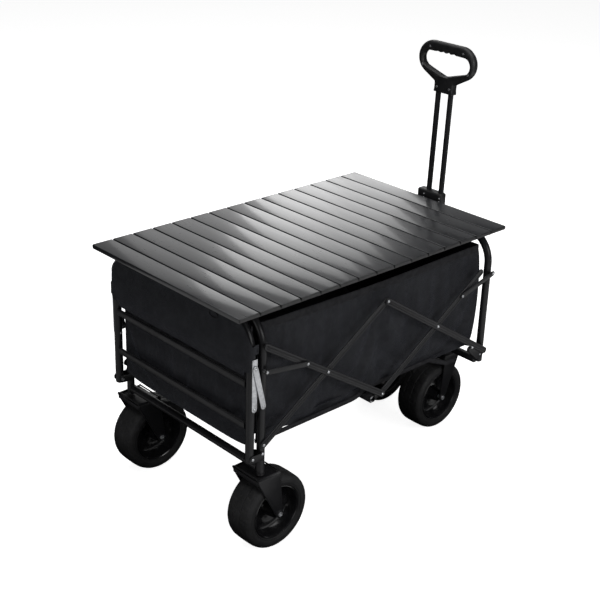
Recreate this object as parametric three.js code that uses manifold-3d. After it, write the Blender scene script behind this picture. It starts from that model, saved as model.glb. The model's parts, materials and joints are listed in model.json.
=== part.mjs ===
// Folding camp wagon with a roll-up slatted table top. Millimetres, +Z up, +X toward the pull handle.
// Raw coordinates: x = 0 under the middle of the table, y = 0 on the centreline, z = 0 on the ground.
import * as THREE from "three";
import { mergeVertices } from "three/addons/utils/BufferGeometryUtils.js";
import Module from "manifold-3d";

const wasm = await Module();
wasm.setup();

// ---- driving dimensions -------------------------------------------------------------------------
const GAP = 0.5; // clearance between neighbouring pieces
const ORIGIN_X = 31.05; // middle of the whole length: first slat at -460.9 to front tyre at +523

const TABLE = { length: 924, width: 562, top: 659, thick: 11, slats: 15, slot: 2.2 };
const POST_Y = 259; // legs of the three upright hoops
const HOOP = { top: 632, bend: 80 };
const REAR = { x: -371.5, r: 10, foot: 222.5, crossZ: 238 };
const GATE = { x: -406, r: 10.5, hingeZ: 278, foot: 266 };
const FRONT = { x: 429, r: 10, foot: 262, crossZ: 262 };
const BAG = { x0: -394, x1: 404, sideX0: -360.5, y: 246, z0: 304, endZ0: 292, z1: 603, cloth: 3 };

// scissor linkage on each long side, pivots in the x-z plane
const LINK = {
  rearFoot: [-374, 307],
  midX: 22,
  slope: 0.65,
  width: 18,
  inner: [269.5, 274],
  outer: [274.5, 279],
  shortRear: [279.5, 282.5],
  shortFront: [274.5, 277.5],
  tail: 9,
};
const SPAN = LINK.midX - LINK.rearFoot[0];
const RISE = SPAN * LINK.slope;
const LOW = LINK.rearFoot[1];
const HIGH = LOW + RISE;
const FRONT_FOOT = [LINK.midX + SPAN, LOW];
const REAR_LINK = { post: [-376, 502.5], along: 86 };
const FRONT_LINK = { post: [432, 528], along: 110 };
const FLOOR_TUBE = { x: -4, z: 295, size: 16, plate: [266, 269] };

// silver folding stays of the drop-down end
const STAY = { gate: [-404, 411], post: [-379, 413], knee: [-404.8, 516.7], top: 540, width: 14 };
const STAY_OUTER = [270, 272.5];
const STAY_INNER = [273, 275.5];

const WHEEL = { r: 100, width: 82, rim: 71, hubWidth: 74, bore: 5.3, axle: 5 };
const REAR_CASTER = { x: -326, y: 236, pin: -358, crown: 214, crownTop: 222 };
const FRONT_CASTER = { x: 423, y: 102, pin: 455, crown: 228, crownTop: 236 };
const FORK = { inside: 44, plate: 4, nut: 3.5 };

const HANDLE = {
  x: 495, pivotZ: 290, rodY: 22, rodR: 7.5, sheathR: 10, bore: 7.9, sheathTop: 640, rodFoot: 610,
  collarTop: 670, collarY: [-33, 54], gripFoot: 950, gripTop: 1084, gripHalf: 93, gripThick: 22,
};

// ---- materials ----------------------------------------------------------------------------------
const finish = (color, roughness, metalness) =>
  new THREE.MeshStandardMaterial({ color, roughness, metalness });
const FRAME_BLACK = () => finish(0x17181a, 0.45, 0.3);
const SLAT_BLACK = () => finish(0x1b1c1f, 0.32, 0.7);
const STEEL = () => finish(0xb9bcc0, 0.3, 0.9);
const CLOTH = () => finish(0x1d1f24, 0.9, 0);
const PLASTIC = () => finish(0x141416, 0.5, 0);
const TYRE = () => finish(0x1a1a1b, 0.85, 0);

// ---- solid helpers ------------------------------------------------------------------------------
function solid(geometry) {
  const bare = geometry.clone();
  bare.deleteAttribute("normal");
  bare.deleteAttribute("uv");
  const merged = mergeVertices(bare, 1e-3);
  const vertProperties = new Float32Array(merged.attributes.position.array);
  const triVerts = new Uint32Array(merged.index.array);
  return new wasm.Manifold(new wasm.Mesh({ numProp: 3, vertProperties, triVerts }));
}

function box(x0, x1, y0, y1, z0, z1) {
  const g = new THREE.BoxGeometry(x1 - x0, y1 - y0, z1 - z0);
  return solid(g.translate((x0 + x1) / 2, (y0 + y1) / 2, (z0 + z1) / 2));
}

function cylinder(axis, a, b, from, to, r, sides = 14) {
  const g = new THREE.CylinderGeometry(r, r, to - from, sides);
  const mid = (from + to) / 2;
  if (axis === "x") return solid(g.rotateZ(Math.PI / 2).translate(mid, a, b));
  if (axis === "y") return solid(g.translate(a, mid, b));
  return solid(g.rotateX(Math.PI / 2).translate(a, b, mid));
}

// A flat piece drawn in the x-z plane, running from y0 to y1.
function plate(points, y0, y1) {
  const shape = new THREE.Shape(points.map(([x, z]) => new THREE.Vector2(x, z)));
  const g = new THREE.ExtrudeGeometry(shape, { depth: y1 - y0, bevelEnabled: false });
  return solid(g.rotateX(Math.PI / 2).translate(0, y1, 0));
}

// A flat piece drawn in the y-z plane, running from x0 to x1.
function sidePlate(points, x0, x1) {
  return plate(points, 0, x1 - x0).rotate([0, 0, -90]).translate([x0, 0, 0]).mirror([0, 1, 0]);
}

function arc(cx, cz, r, from, to, steps) {
  return Array.from({ length: steps + 1 }, (_, i) => {
    const a = from + ((to - from) * i) / steps;
    return [cx + r * Math.cos(a), cz + r * Math.sin(a)];
  });
}

// Outline of a bar with rounded ends, from pivot a to pivot b, each end standing tail past its pivot.
function barOutline(a, b, width, tail) {
  const dir = Math.atan2(b[1] - a[1], b[0] - a[0]);
  const reach = tail - width / 2;
  const shift = (p, s) => [p[0] + s * reach * Math.cos(dir), p[1] + s * reach * Math.sin(dir)];
  const [p, q] = [shift(a, -1), shift(b, 1)];
  const r = width / 2;
  const half = Math.PI / 2;
  const far = arc(q[0], q[1], r, dir - half, dir + half, 6);
  return [...far, ...arc(p[0], p[1], r, dir + half, dir + 3 * half, 6)];
}

// Convex outline round a set of circles given as [u, v, r].
function hullOutline(circles, steps = 16) {
  const pts = circles.flatMap(([u, v, r]) => arc(u, v, r, 0, 2 * Math.PI, steps).slice(0, -1));
  pts.sort((p, q) => p[0] - q[0] || p[1] - q[1]);
  const turn = (o, p, q) => (p[0] - o[0]) * (q[1] - o[1]) - (p[1] - o[1]) * (q[0] - o[0]);
  const chain = (list) => {
    const out = [];
    for (const p of list) {
      while (out.length > 1 && turn(out.at(-2), out.at(-1), p) <= 0.01) out.pop();
      out.push(p);
    }
    return out.slice(0, -1);
  };
  return [...chain(pts), ...chain(pts.reverse())];
}

// A path of straight runs whose corners are rounded; its rings sit only where the path turns.
class BentPath extends THREE.Curve {
  constructor(corners, bend, steps = 6) {
    super();
    const at = corners.map((c) => new THREE.Vector3(...c));
    this.stations = [at[0]];
    for (let i = 1; i < at.length - 1; i++) {
      const back = at[i - 1].clone().sub(at[i]).normalize();
      const on = at[i + 1].clone().sub(at[i]).normalize();
      const half = back.angleTo(on) / 2;
      const reach = bend / Math.tan(half);
      const inward = back.clone().add(on).normalize();
      const centre = at[i].clone().addScaledVector(inward, bend / Math.sin(half));
      const start = at[i].clone().addScaledVector(back, reach).sub(centre);
      const end = at[i].clone().addScaledVector(on, reach).sub(centre);
      const sweep = start.angleTo(end);
      for (let k = 0; k <= steps; k++) {
        const [u, v] = [Math.sin(sweep * (1 - k / steps)), Math.sin((sweep * k) / steps)];
        const spoke = start.clone().multiplyScalar(u).addScaledVector(end, v).divideScalar(Math.sin(sweep));
        this.stations.push(centre.clone().add(spoke));
      }
    }
    this.stations.push(at.at(-1));
  }
  getPoint(t, target = new THREE.Vector3()) {
    const s = Math.min(Math.max(t, 0), 1) * (this.stations.length - 1);
    const i = Math.min(Math.floor(s), this.stations.length - 2);
    return target.lerpVectors(this.stations[i], this.stations[i + 1], s - i);
  }
  getUtoTmapping(u) {
    return u;
  }
}

function tube(corners, r, bend, sides = 12) {
  const path = new BentPath(corners, bend);
  const ring = arc(0, 0, r, 0, 2 * Math.PI, sides).slice(0, -1);
  const shape = new THREE.Shape(ring.map(([u, v]) => new THREE.Vector2(u, v)));
  const steps = path.stations.length - 1;
  return solid(new THREE.ExtrudeGeometry(shape, { steps, extrudePath: path, bevelEnabled: false }));
}

// An inverted U of round tube standing across the wagon.
function hoop(x, foot, r) {
  const corners = [[x, -POST_Y, foot], [x, -POST_Y, HOOP.top], [x, POST_Y, HOOP.top], [x, POST_Y, foot]];
  return tube(corners, r, HOOP.bend);
}

const union = (parts) => parts.reduce((sum, part) => sum.add(part));
const mirrorY = (body) => body.mirror([0, 1, 0]);

const group = new THREE.Group();
group.name = "camp_wagon";
group.position.x = -ORIGIN_X;

function add(name, body, material) {
  const out = body.getMesh();
  const g = new THREE.BufferGeometry();
  g.setAttribute("position", new THREE.BufferAttribute(new Float32Array(out.vertProperties), 3));
  g.setIndex(new THREE.BufferAttribute(new Uint32Array(out.triVerts), 1));
  g.computeVertexNormals();
  const mesh = new THREE.Mesh(g, material);
  mesh.name = name;
  group.add(mesh);
}

// Adds the same piece on the right (-Y) as drawn and on the left (+Y) mirrored.
function addPair(name, body, material) {
  add(name + "_r", body, material());
  add(name + "_l", mirrorY(body), material());
}

// ---- table --------------------------------------------------------------------------------------
function slat(index) {
  const pitch = TABLE.length / TABLE.slats;
  const x0 = -TABLE.length / 2 + index * pitch + TABLE.slot / 2;
  const x1 = x0 + pitch - TABLE.slot;
  const [z0, z1] = [TABLE.top - TABLE.thick, TABLE.top];
  const [soft, lip] = [1.2, 2.4];
  const outline = [
    [x0, z0], [x1, z0], [x1, z1 - lip], [x1 - soft * 0.3, z1 - soft], [x1 - lip, z1],
    [x0 + lip, z1], [x0 + soft * 0.3, z1 - soft], [x0, z1 - lip],
  ];
  return plate(outline, -TABLE.width / 2, TABLE.width / 2);
}

function addTable() {
  for (let i = 0; i < TABLE.slats; i++) {
    add("table_slat_" + String(i + 1).padStart(2, "0"), slat(i), SLAT_BLACK());
  }
}

// ---- upright hoops ------------------------------------------------------------------------------
function crossTube(x, z, r, half) {
  return cylinder("y", x, z, -half, half, r, 12);
}

// Cheeks welded to a rear leg, one each side of the drop-down hoop's foot, with the hinge pin through them.
function hingeBracket() {
  const [z0, z1] = [GATE.hingeZ - 14, GATE.hingeZ + 13];
  const outline = [[GATE.x - 9, z0 + 6], [GATE.x - 3, z0], [REAR.x, z0], [REAR.x, z1], [GATE.x - 9, z1]];
  const outer = plate(outline, -POST_Y - 13.2, -POST_Y - 11.2);
  const inner = plate(outline, -POST_Y + 11.2, -POST_Y + 13.2);
  const web = box(REAR.x - 4, REAR.x + 4, -POST_Y - 13.2, -POST_Y + 13.2, z0, z1);
  const pin = cylinder("y", GATE.x, GATE.hingeZ, -POST_Y - 15, -POST_Y + 14.5, 4, 12);
  return union([outer, inner, web, pin]);
}

function rearFrame() {
  const brackets = hingeBracket();
  return union([
    hoop(REAR.x, REAR.foot, REAR.r),
    crossTube(REAR.x, REAR.crossZ, REAR.r, POST_Y),
    brackets,
    mirrorY(brackets),
  ]);
}

function tailgateFrame() {
  const bore = cylinder("y", GATE.x, GATE.hingeZ, -POST_Y - 20, -POST_Y + 20, 4.4, 12);
  return hoop(GATE.x, GATE.foot, GATE.r).subtract(bore).subtract(mirrorY(bore));
}

// Gusset plate on the outside of a front leg's foot; the linkage is pinned to it.
function frontFoot() {
  const outline = [[372, 318], [FRONT.x + 8, 296], [FRONT.x + 4, 262], [FRONT.x - 10, 262], [366, 300]];
  return plate(outline, -273.9, -266);
}

function frontFrame() {
  const foot = frontFoot();
  return union([hoop(FRONT.x, FRONT.foot, FRONT.r), foot, mirrorY(foot)]);
}

function casterSeat() {
  const { pin, y } = FRONT_CASTER;
  const seat = box(FRONT.x + 4, pin + 30, -y - 30, -y + 30, 243, 254);
  return seat.add(cylinder("z", pin, -y, 236.6, 244, 20, 16));
}

function handleEar() {
  const { x, rodY } = HANDLE;
  const outline = [[FRONT.x, 270], [x + 8, 278], [x + 12, 290], [x + 8, 301], [FRONT.x, 281]];
  return plate(outline, -rodY - 18, -rodY - 15);
}

function frontCrossTube() {
  const limit = POST_Y - FRONT.r - GAP;
  const seat = casterSeat();
  const ear = handleEar();
  const link = cylinder("y", FRONT.x, 275, -HANDLE.rodY - 18, HANDLE.rodY + 18, 8, 12);
  return union([
    crossTube(FRONT.x, FRONT.crossZ, 11, limit), seat, mirrorY(seat), ear, mirrorY(ear), link,
    cylinder("y", HANDLE.x, HANDLE.pivotZ, -HANDLE.rodY - 20, HANDLE.rodY + 20, 4, 12),
  ]);
}

// Two flat rails across the drop-down end, butted against the inner faces of its legs.
function tailgateRail(z) {
  const half = POST_Y - GATE.r - GAP;
  return box(GATE.x - 9, GATE.x - 1, -half, half, z - 8, z + 8);
}

// ---- side linkage -------------------------------------------------------------------------------
function rivet(p, layer, r = 6) {
  return cylinder("y", p[0], p[1], -layer[1] - 2.2, -layer[1] + 0.5, r, 12);
}

function bar(a, b, layer, rivets, width = LINK.width, tail = LINK.tail) {
  const body = plate(barOutline(a, b, width, tail), -layer[1], -layer[0]);
  return union([body, ...rivets.map((p) => rivet(p, layer))]);
}

const along = (from, to, s) => {
  const length = Math.hypot(to[0] - from[0], to[1] - from[1]);
  return [from[0] + ((to[0] - from[0]) * s) / length, from[1] + ((to[1] - from[1]) * s) / length];
};

function addLinkage() {
  const rearTop = [LINK.rearFoot[0], HIGH];
  const midTop = [LINK.midX, HIGH];
  const midLow = [LINK.midX, LOW];
  const frontTop = [FRONT_FOOT[0], HIGH];
  const rearCross = [(LINK.rearFoot[0] + LINK.midX) / 2, (LOW + HIGH) / 2];
  const frontCross = [(FRONT_FOOT[0] + LINK.midX) / 2, (LOW + HIGH) / 2];
  const rearRivet = along(rearCross, rearTop, REAR_LINK.along);
  const frontRivet = along(frontCross, frontTop, FRONT_LINK.along);
  addPair("scissor_rear_rising", bar(LINK.rearFoot, midTop, LINK.inner, []), FRAME_BLACK);
  addPair("scissor_rear_falling", bar(rearTop, midLow, LINK.outer, [rearCross, midLow]), FRAME_BLACK);
  addPair("scissor_front_rising", bar(midLow, along(frontTop, midLow, 40), LINK.inner, []), FRAME_BLACK);
  const falling = bar(midTop, FRONT_FOOT, LINK.outer, [midTop, frontCross], LINK.width, 22);
  addPair("scissor_front_falling", falling.add(rivet(FRONT_FOOT, LINK.outer)), FRAME_BLACK);
  addPair("short_link_rear", shortLink(REAR_LINK.post, rearRivet, LINK.shortRear), FRAME_BLACK);
  addPair("short_link_front", shortLink(FRONT_LINK.post, frontRivet, LINK.shortFront), FRAME_BLACK);
}

// Square tube under the middle of the floor, hung from the low middle pivots by a plate at each end.
function floorCrossTube() {
  const { x, z, size, plate: layer } = FLOOR_TUBE;
  const half = size / 2;
  const reach = layer[1] + GAP / 2;
  const outline = hullOutline([[LINK.midX, LOW, 9], [x + half - 4, z - half + 4, 4], [x - half + 4, z, 4]]);
  const hanger = plate(outline, -layer[1], -layer[0]);
  return union([box(x - half, x + half, -reach, reach, z - half, z + half), hanger, mirrorY(hanger)]);
}

// A short link with a boss that spaces it off its post.
function shortLink(post, end, layer) {
  const boss = cylinder("y", post[0], post[1], -layer[0] - 0.5, -269.5, 3.6, 12);
  return bar(post, end, layer, [post, end], 14, 7).add(boss);
}

// The stay on the gate runs on past the knee to a square end.
function addStays() {
  const { gate, post, knee, top, width } = STAY;
  const outer = bar(gate, knee, STAY_OUTER, [gate], width, width / 2);
  const inner = bar(post, knee, STAY_INNER, [post, knee], width, width / 2);
  const tab = box(knee[0] - width / 2, knee[0] + width / 2, -STAY_OUTER[1], -STAY_OUTER[0], knee[1], top);
  const boss = cylinder("y", post[0], post[1], -STAY_INNER[0] - 0.5, -269.5, 5, 12);
  addPair("stay_gate", outer.add(tab), STEEL);
  addPair("stay_post", inner.add(boss), STEEL);
}

// ---- bag ----------------------------------------------------------------------------------------
function addBag() {
  const { x0, x1, sideX0, y, z0, endZ0, z1, cloth } = BAG;
  const seam = 1;
  const lift = z0 + cloth + seam;
  addPair("bag_side", box(sideX0, x1 - cloth - seam, -y, -y + cloth, z0, z1), CLOTH);
  add("bag_rear", box(x0, x0 + cloth, -y, y, endZ0, z1), CLOTH());
  add("bag_front", box(x1 - cloth, x1, -y, y, z0, z1), CLOTH());
  const inset = cloth + seam;
  add("bag_floor", box(x0 + inset, x1 - inset, inset - y, y - inset, z0, lift), CLOTH());
}

// ---- wheels -------------------------------------------------------------------------------------
function ringOf(profile, sides) {
  const points = profile.map(([r, y]) => new THREE.Vector2(r, y));
  return solid(new THREE.LatheGeometry([...points, points[0]], sides));
}

function tyre() {
  const h = WHEEL.width / 2;
  const r = WHEEL.r;
  return ringOf([
    [WHEEL.rim, -h + 5], [WHEEL.rim + 4, -h], [r * 0.86, -h + 1], [r * 0.95, -h + 8], [r - 1, -h + 20],
    [r, 0], [r - 1, h - 20], [r * 0.95, h - 8], [r * 0.86, h - 1], [WHEEL.rim + 4, h], [WHEEL.rim, h - 5],
  ], 32);
}

function hub() {
  const h = WHEEL.hubWidth / 2;
  const r = WHEEL.rim - GAP;
  return ringOf([
    [WHEEL.bore, -h], [17, -h], [19, -h + 16], [52, -h + 14], [60, -h + 2], [r, -h],
    [r, h], [60, h - 2], [52, h - 14], [19, h - 16], [17, h], [WHEEL.bore, h],
  ], 24);
}

// Two tapered cheeks and a crown over the wheel, with the axle bolt across.
function fork(caster, pinY) {
  const { x, pin, crown, crownTop } = caster;
  const inside = FORK.inside;
  const outside = inside + FORK.plate;
  const back = caster === REAR_CASTER ? [-397, -327] : [pin - 36, pin + 26];
  const cheek = [
    [back[0], crownTop], [back[0], crown - 8], ...arc(x, WHEEL.r, 13, Math.PI * 1.1, Math.PI * 1.95, 6),
    [back[1], crown - 8], [back[1], crownTop],
  ];
  const near = plate(cheek, -outside, -inside);
  const top = box(back[0], back[1], -outside, outside, crown, crownTop);
  const bolt = cylinder("y", x, WHEEL.r, -outside - FORK.nut, outside + FORK.nut, WHEEL.axle, 12);
  const head = cylinder("y", x, WHEEL.r, -outside - FORK.nut, -outside + 1, 8.5, 12);
  return union([near, mirrorY(near), top, bolt, head, mirrorY(head)]).translate([0, pinY, 0]);
}

function addCorner(tag, caster, side) {
  const y = side * caster.y;
  add("fork_" + tag, fork(caster, y), FRAME_BLACK());
  add("tyre_" + tag, tyre().translate([caster.x, y, WHEEL.r]), TYRE());
  add("hub_" + tag, hub().translate([caster.x, y, WHEEL.r]), PLASTIC());
}

// ---- pull handle --------------------------------------------------------------------------------
function handleSheath() {
  const { x, rodY, sheathR, bore, sheathTop, collarTop, collarY, pivotZ } = HANDLE;
  const leg = (y) => cylinder("z", x, y, pivotZ + 8, sheathTop, sheathR, 14);
  const hole = (y) => cylinder("z", x, y, pivotZ + 18, collarTop + 5, bore, 14);
  const collar = box(x - 13, x + 13, collarY[0], collarY[1], sheathTop - 12, collarTop);
  const block = box(x - 11, x + 11, -rodY - 14.4, rodY + 14.4, pivotZ - 12, pivotZ + 15);
  const pin = cylinder("y", x, pivotZ, -rodY - 20, rodY + 20, 4.4, 12);
  const body = union([leg(rodY), leg(-rodY), collar, block]);
  return body.subtract(union([hole(rodY), hole(-rodY), pin]));
}

function handleRod(side) {
  const { x, rodY, rodR, rodFoot, gripFoot } = HANDLE;
  return cylinder("z", x, side * rodY, rodFoot, gripFoot - GAP, rodR, 14);
}

// D-shaped grip with a finger opening, on a short neck that takes both rods.
function handleGrip() {
  const { x, gripHalf, gripTop, gripFoot, gripThick } = HANDLE;
  const [x0, x1] = [x - gripThick / 2, x + gripThick / 2];
  const corner = 46;
  const reach = gripHalf - corner;
  const shoulder = gripTop - corner;
  const rim = hullOutline([[-reach, shoulder, corner], [reach, shoulder, corner], [0, gripFoot + 44, 32]]);
  const hole = hullOutline([[-58, 1034, 22], [58, 1034, 22], [0, 1017, 22]]);
  const neck = [[-33, gripFoot], [33, gripFoot], [30, gripFoot + 40], [-30, gripFoot + 40]];
  const notch = (y) => cylinder("x", y, 1050, x0 - 1, x1 + 1, 9.5, 16);
  let body = sidePlate(rim, x0, x1).add(sidePlate(neck, x0, x1)).subtract(sidePlate(hole, x0 - 1, x1 + 1));
  for (const y of [-22, -4, 14, 32]) body = body.subtract(notch(y));
  return body;
}

// ---- assembly -----------------------------------------------------------------------------------
addTable();
add("rear_frame", rearFrame(), FRAME_BLACK());
add("tailgate_frame", tailgateFrame(), FRAME_BLACK());
add("tailgate_rail_upper", tailgateRail(472), FRAME_BLACK());
add("tailgate_rail_lower", tailgateRail(363), FRAME_BLACK());
add("front_frame", frontFrame(), FRAME_BLACK());
add("front_cross_tube", frontCrossTube(), FRAME_BLACK());
addLinkage();
add("floor_cross_tube", floorCrossTube(), FRAME_BLACK());
addStays();
addBag();
addCorner("rear_r", REAR_CASTER, -1);
addCorner("rear_l", REAR_CASTER, 1);
addCorner("front_r", FRONT_CASTER, -1);
addCorner("front_l", FRONT_CASTER, 1);
add("handle_sheath", handleSheath(), PLASTIC());
add("handle_rod_r", handleRod(-1), FRAME_BLACK());
add("handle_rod_l", handleRod(1), FRAME_BLACK());
add("handle_grip", handleGrip(), PLASTIC());

export default group;
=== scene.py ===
"""Looks of the folding camp wagon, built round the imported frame. Lengths are written in millimetres
in the wagon's own raw frame (x = 0 under the middle of the table) and turned into metres by at()."""

import json
import math
import bmesh
import bpy
from mathutils import Matrix, Vector, noise


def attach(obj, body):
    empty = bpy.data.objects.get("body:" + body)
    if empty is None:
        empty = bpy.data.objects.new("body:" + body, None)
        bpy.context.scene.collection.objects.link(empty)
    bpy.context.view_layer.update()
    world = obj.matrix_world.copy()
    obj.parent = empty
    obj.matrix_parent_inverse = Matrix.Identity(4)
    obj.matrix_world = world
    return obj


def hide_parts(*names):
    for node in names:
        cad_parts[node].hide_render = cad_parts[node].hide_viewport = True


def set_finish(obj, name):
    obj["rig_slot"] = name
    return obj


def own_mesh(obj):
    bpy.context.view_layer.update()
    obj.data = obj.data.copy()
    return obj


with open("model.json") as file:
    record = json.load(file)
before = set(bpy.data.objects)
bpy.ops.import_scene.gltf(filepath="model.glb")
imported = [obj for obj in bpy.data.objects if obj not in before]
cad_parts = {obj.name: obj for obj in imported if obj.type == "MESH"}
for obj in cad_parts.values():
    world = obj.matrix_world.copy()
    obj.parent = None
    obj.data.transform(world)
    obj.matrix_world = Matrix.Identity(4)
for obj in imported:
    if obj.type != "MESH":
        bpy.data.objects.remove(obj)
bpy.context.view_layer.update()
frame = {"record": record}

MM = 0.001
ORIGIN_X = 31.05
TABLE = dict(length=924.0, width=562.0, top=659.0, thick=11.0, slats=15, slot=3.8)
POST_Y = 259.0
HOOP_TOP, HOOP_BEND = 632.0, 80.0
REAR = dict(x=-371.5, r=10.0, foot=221.0, cross=238.0)
GATE = dict(x=-406.0, r=10.5, foot=266.0, hinge=278.0)
FRONT = dict(x=429.0, r=10.0, foot=262.0, cross=262.0)
BAG = dict(x0=-394.0, x1=404.0, side_x0=-360.5, y=246.0, z0=304.0, z1=608.0)
FOOT, MID_X, SLOPE, BAR_W = (-374.0, 307.0), 22.0, 0.65, 18.0
SPAN = MID_X - FOOT[0]
LOW, HIGH = FOOT[1], FOOT[1] + SPAN * SLOPE
FRONT_FOOT = (MID_X + SPAN, LOW)
INNER, OUTER, LINK_REAR, LINK_FRONT = (269.5, 274.0), (274.5, 279.0), (279.5, 282.5), (274.5, 277.5)
WHEEL_R, RIM_R, HUB_W = 100.0, 71.0, 74.0
WHEELS = {
    "rear_r": (-326.0, -236.0), "rear_l": (-326.0, 236.0),
    "front_r": (423.0, -102.0), "front_l": (423.0, 102.0),
}
HANDLE_X, ROD_Y = 495.0, 22.0
LEAN, LEAN_FROM = 0.026, 640.0  # forward lean of the rods and grip, per millimetre above the sheath


def at(x, y, z):
    return Vector(((x - ORIGIN_X) * MM, y * MM, z * MM))


# ---- camera, lights, floor ----------------------------------------------------------------------
def make_camera():
    azimuth, elevation, roll = (math.radians(a) for a in (-43.7, 24.4, 2.0))
    level = math.cos(elevation)
    back = Vector((math.sin(azimuth) * level, -math.cos(azimuth) * level, math.sin(elevation)))
    right = (-back).cross(Vector((0, 0, 1))).normalized()
    up = right.cross(-back)
    turned_right = math.cos(roll) * right + math.sin(roll) * up
    turned_up = -math.sin(roll) * right + math.cos(roll) * up
    data = bpy.data.cameras.new("camera")
    data.lens, data.sensor_width = 73.66, 36.0
    data.clip_end = 300
    camera = bpy.data.objects.new("camera", data)
    camera.matrix_world = Matrix.Translation(at(-2026.6, -2107.5, 1801.8)) @ Matrix(
        (turned_right, turned_up, back)).transposed().to_4x4()
    bpy.context.collection.objects.link(camera)
    bpy.context.scene.camera = camera


def area_light(name, place, target, size, power, color=(1, 1, 1)):
    data = bpy.data.lights.new(name, "AREA")
    data.shape, data.size, data.size_y = "RECTANGLE", size[0], size[1]
    data.energy, data.color = power, color
    lamp = bpy.data.objects.new(name, data)
    lamp.location = place
    lamp.rotation_euler = (Vector(target) - Vector(place)).to_track_quat("-Z", "Y").to_euler()
    lamp.visible_camera = False
    bpy.context.collection.objects.link(lamp)


def make_studio():
    scene = bpy.context.scene
    scene.view_settings.view_transform = "Standard"
    world = bpy.data.worlds.new("studio")
    world.use_nodes = True
    world.node_tree.nodes["Background"].inputs["Color"].default_value = (1, 1, 1, 1)
    world.cycles_visibility.diffuse = False
    world.cycles_visibility.glossy = False
    scene.world = world
    area_light("overhead", (0.0, 0.0, 4.2), (0, 0, 0), (5.0, 5.0), 130)
    area_light("back_panel", (2.13, 2.12, 1.70), (0, 0, 0.66), (0.95, 2.0), 9.5)
    area_light("back_wing", (1.72, 2.52, 1.70), (0, 0, 0.66), (1.2, 2.0), 3.2)
    area_light("back_fill", (2.6, 2.6, 1.2), (0, 0, 0.6), (6.0, 3.0), 12)
    area_light("side_panel", (0.4, -3.6, 1.9), (0, 0, 0.45), (2.2, 1.6), 45)
    area_light("end_panel", (-3.8, -0.9, 1.7), (0, 0, 0.45), (1.5, 1.6), 20)
    area_light("side_card", (0.3, -1.5, 0.0), (0.3, -1.5, 2.0), (3.2, 1.9), 16)
    area_light("end_card", (-1.5, 0.2, 0.0), (-1.5, 0.2, 2.0), (1.5, 2.2), 5)
    floor = bpy.data.materials.new("floor")
    floor.use_nodes = True
    shader = floor.node_tree.nodes["Principled BSDF"]
    shader.inputs["Base Color"].default_value = (0.8, 0.8, 0.8, 1)
    shader.inputs["Roughness"].default_value = 0.9
    shader.inputs["Emission Color"].default_value = (1, 1, 1, 1)
    shader.inputs["Emission Strength"].default_value = 0.9
    mesh = bpy.data.meshes.new("floor")
    half = 120.0
    corners = [(-half, -half, 0), (half, -half, 0), (half, half, 0), (-half, half, 0)]
    mesh.from_pydata(corners, [], [(0, 1, 2, 3)])
    mesh.materials.append(floor)
    ground = bpy.data.objects.new("floor", mesh)
    ground.location.z = -0.0005
    ground.visible_diffuse = ground.visible_glossy = False
    bpy.context.collection.objects.link(ground)


# ---- materials ----------------------------------------------------------------------------------
class Look:
    """A node material under construction."""

    def __init__(self, name, color, roughness, metallic=0.0, **sockets):
        self.material = bpy.data.materials.new(name)
        self.material.use_nodes = True
        self.tree = self.material.node_tree
        self.shader = self.tree.nodes["Principled BSDF"]
        self.shader.inputs["Base Color"].default_value = (*color, 1)
        self.shader.inputs["Roughness"].default_value = roughness
        self.shader.inputs["Metallic"].default_value = metallic
        for key, value in sockets.items():
            self.shader.inputs[key.replace("_", " ")].default_value = value
        self.color = color
        self.bump = None

    def node(self, kind, **settings):
        made = self.tree.nodes.new("ShaderNode" + kind)
        for key, value in settings.items():
            if key in made.inputs:
                made.inputs[key].default_value = value
            else:
                setattr(made, key, value)
        return made

    def link(self, a, b):
        self.tree.links.new(a, b)

    def coords(self, scale=(1, 1, 1), output="Object"):
        source = self.node("TexCoord").outputs[output]
        mapping = self.node("Mapping")
        mapping.inputs["Scale"].default_value = scale
        self.link(source, mapping.inputs["Vector"])
        return mapping.outputs["Vector"]

    def noise(self, scale, detail=4.0, stretch=(1, 1, 1), output="Object"):
        made = self.node("TexNoise", Scale=scale, Detail=detail, Roughness=0.6)
        self.link(self.coords(stretch, output), made.inputs["Vector"])
        return made.outputs["Fac"]

    def ramp(self, fac, low, high, start=0.3, end=0.7):
        made = self.node("ValToRGB")
        for element, place, value in zip(made.color_ramp.elements, (start, end), (low, high)):
            element.position = place
            element.color = (*value, 1) if hasattr(value, "__len__") else (value, value, value, 1)
        self.link(fac, made.inputs["Fac"])
        return made.outputs["Color"]

    def math(self, operation, a, b=None):
        made = self.node("Math", operation=operation)
        for socket, value in zip(made.inputs, (a, b)):
            if value is None:
                continue
            if hasattr(value, "is_output"):
                self.link(value, socket)
            else:
                socket.default_value = value
        return made.outputs[0]

    def paint(self, fac, low, high, start=0.3, end=0.7):
        self.link(self.ramp(fac, low, high, start, end), self.shader.inputs["Base Color"])

    def rough(self, fac, low, high, start=0.3, end=0.7):
        self.link(self.ramp(fac, low, high, start, end), self.shader.inputs["Roughness"])

    def relief(self, height, distance, strength=1.0):
        made = self.node("Bump", Strength=strength, Distance=distance)
        self.link(height, made.inputs["Height"])
        if self.bump is not None:
            self.link(self.bump, made.inputs["Normal"])
        self.bump = made.outputs["Normal"]
        self.link(self.bump, self.shader.inputs["Normal"])


def slat_look():
    """Black anodised extrusion: fine brushing along the slat, with a faint difference from slat to slat."""
    look = Look("slat_anodised", (0.02, 0.021, 0.023), 0.27, 0.0, Specular_IOR_Level=0.5)
    look.shader.inputs["Coat Weight"].default_value = 0.5
    look.shader.inputs["Coat Roughness"].default_value = 0.12
    look.paint(look.noise(9, 2, (1.6, 0.15, 1)), (0.016, 0.017, 0.019), (0.024, 0.025, 0.028))
    look.rough(look.noise(60, 5, (6, 0.35, 1)), 0.27, 0.32)
    look.relief(look.noise(700, 2, (1, 0.03, 1)), 0.00001)
    return look.material


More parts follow.
